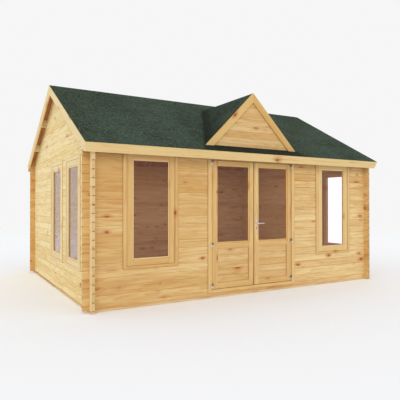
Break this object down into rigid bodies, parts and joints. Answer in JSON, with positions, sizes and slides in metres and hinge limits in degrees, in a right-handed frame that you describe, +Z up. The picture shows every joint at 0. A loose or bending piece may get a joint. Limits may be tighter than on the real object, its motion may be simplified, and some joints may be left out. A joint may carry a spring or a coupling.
{
  "type": "log cabin",
  "caption": "Interlocking log cabin with an apex roof in green felt, a small boarded dormer, half-glazed double doors and tall windows.",
  "frame": {"origin": "middle of the footprint at ground level, on the underside of the base bearers", "axes": "+X along the ridge to the right seen from the front, -Y out of the front with the doors, +Z up"},
  "size_m": [5.524, 4.3628, 3.4132],
  "materials": {
    "log_timber": "matte",
    "joinery_timber": "satin",
    "roof_timber": "matte",
    "floor_boards": "matte",
    "treated_timber": "matte",
    "green_felt": "matte",
    "window_glass": "gloss",
    "steel": "satin"
  },
  "bodies": {
    "house": {"back_wall": "log_timber", "bargeboards": "joinery_timber", "base_bearers": "treated_timber", "door_frame": "joinery_timber", "dormer_bargeboards": "joinery_timber", "dormer_felt": "green_felt", "dormer_gable": "joinery_timber", "dormer_roof_boards": "roof_timber", "fascias": "joinery_timber", "floor": "floor_boards", "floor_joists": "treated_timber", "front_roof_boards": "roof_timber", "front_wall_left": "log_timber", "front_wall_right": "log_timber", "front_window_frames": "joinery_timber", "front_window_glass": "window_glass", "front_window_sashes": "joinery_timber", "hinge_pins": "steel", "inner_casings": "joinery_timber", "left_gable": "log_timber", "left_wall": "log_timber", "left_window_frames": "joinery_timber", "left_window_glass": "window_glass", "left_window_sashes": "joinery_timber", "rear_roof_boards": "roof_timber", "right_gable": "log_timber", "right_wall": "log_timber", "right_window_frames": "joinery_timber", "right_window_glass": "window_glass", "right_window_sashes": "joinery_timber", "roof_felt": "green_felt", "roof_purlins": "roof_timber", "sill_logs": "log_timber", "wall_plates": "log_timber"},
    "left_door": {"left_door_glass": "window_glass", "left_door_hinges": "steel", "left_door_leaf": "joinery_timber", "left_door_panel": "joinery_timber"},
    "right_door": {"right_door_glass": "window_glass", "right_door_hinges": "steel", "right_door_leaf": "joinery_timber", "right_door_panel": "joinery_timber", "handle_plates": "steel"},
    "lever": {"door_lever": "steel"}
  },
  "joints": [
    {"name": "left_door_swing", "type": "hinge", "parent": "house", "child": "left_door", "pos_m": [-0.7845, -2.0223, 1.1], "axis": [0, 0, -1], "range_deg": [0, 150]},
    {"name": "right_door_swing", "type": "hinge", "parent": "house", "child": "right_door", "pos_m": [0.7845, -2.0223, 1.1], "axis": [0, 0, 1], "range_deg": [0, 150]},
    {"name": "lever_turn", "type": "hinge", "parent": "right_door", "child": "lever", "pos_m": [0.0485, -1.985, 1.106], "axis": [0, 1, 0], "range_deg": [0, 45], "stiffness_Nm_per_rad": 1, "springref_deg": -28.65}
  ]
}
